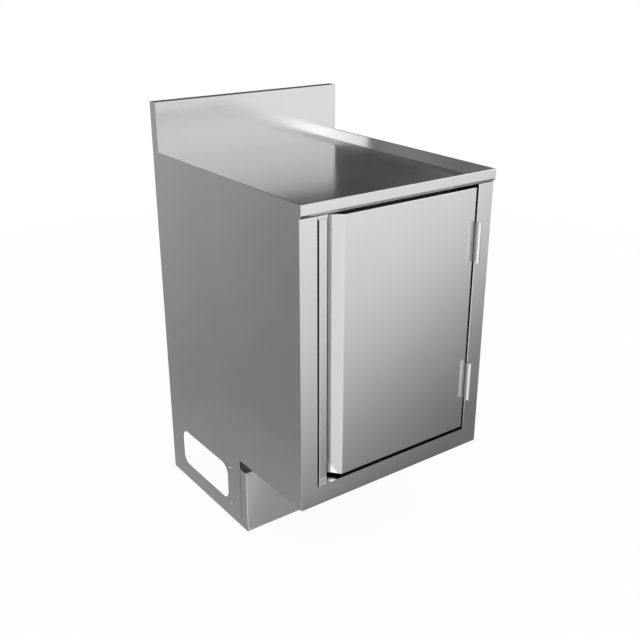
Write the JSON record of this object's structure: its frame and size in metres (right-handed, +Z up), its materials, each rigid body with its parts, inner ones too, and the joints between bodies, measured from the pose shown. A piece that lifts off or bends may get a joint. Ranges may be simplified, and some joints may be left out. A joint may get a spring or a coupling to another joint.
{
  "type": "underbar unit",
  "caption": "stainless steel underbar cabinet with a dished worktop, rear upstand, hinged door with a slanted full-height pull, recessed kick plate and service cut-outs in the sides",
  "frame": {"origin": "on the floor, in the middle of the object's box", "axes": "+Z up; the front with the door faces -Y; +X is to the right for someone facing the door"},
  "size_m": [0.453, 0.5394, 0.85],
  "materials": {
    "satin_steel": "fine satin stainless sheet, softly mirror-like",
    "plain_steel": "mill-finish stainless sheet inside the cabinet",
    "bright_steel": "polished stainless hinge and rivet metal",
    "catch_plastic": "matte moulded plastic",
    "magnet": "dark bonded magnet",
    "door_filling": "rigid foam filling, hidden"
  },
  "bodies": {
    "cabinet": {"worktop": "satin_steel", "backsplash": "satin_steel", "left_side_panel": "satin_steel", "right_side_panel": "satin_steel", "left_stile": "satin_steel", "right_stile": "satin_steel", "bottom_rail": "satin_steel", "recess_channel": "satin_steel", "recess_bracket": "satin_steel", "kick_plate": "satin_steel", "rear_panel": "plain_steel", "base_shelf": "plain_steel", "inner_shelf": "plain_steel", "shelf_ledge_left": "plain_steel", "shelf_ledge_right": "plain_steel", "stiffener_front": "plain_steel", "stiffener_rear": "plain_steel", "kick_bracket_left": "plain_steel", "kick_bracket_right": "plain_steel", "kick_rivet_left_lower": "bright_steel", "kick_rivet_left_upper": "bright_steel", "kick_rivet_right_lower": "bright_steel", "kick_rivet_right_upper": "bright_steel", "hinge_frame_leaf_lower": "bright_steel", "hinge_frame_leaf_upper": "bright_steel", "hinge_pin_lower": "bright_steel", "hinge_pin_upper": "bright_steel", "catch_housing": "catch_plastic", "catch_magnet": "magnet"},
    "door": {"door_skin": "satin_steel", "door_liner": "plain_steel", "door_core": "door_filling", "hinge_door_leaf_lower": "bright_steel", "hinge_door_leaf_upper": "bright_steel", "catch_strike": "plain_steel"}
  },
  "joints": [
    {"name": "door_hinge", "type": "hinge", "parent": "cabinet", "child": "door", "pos_m": [0.18525, -0.26575, 0.4633], "axis": [0, 0, 1], "range_deg": [0, 180]}
  ]
}
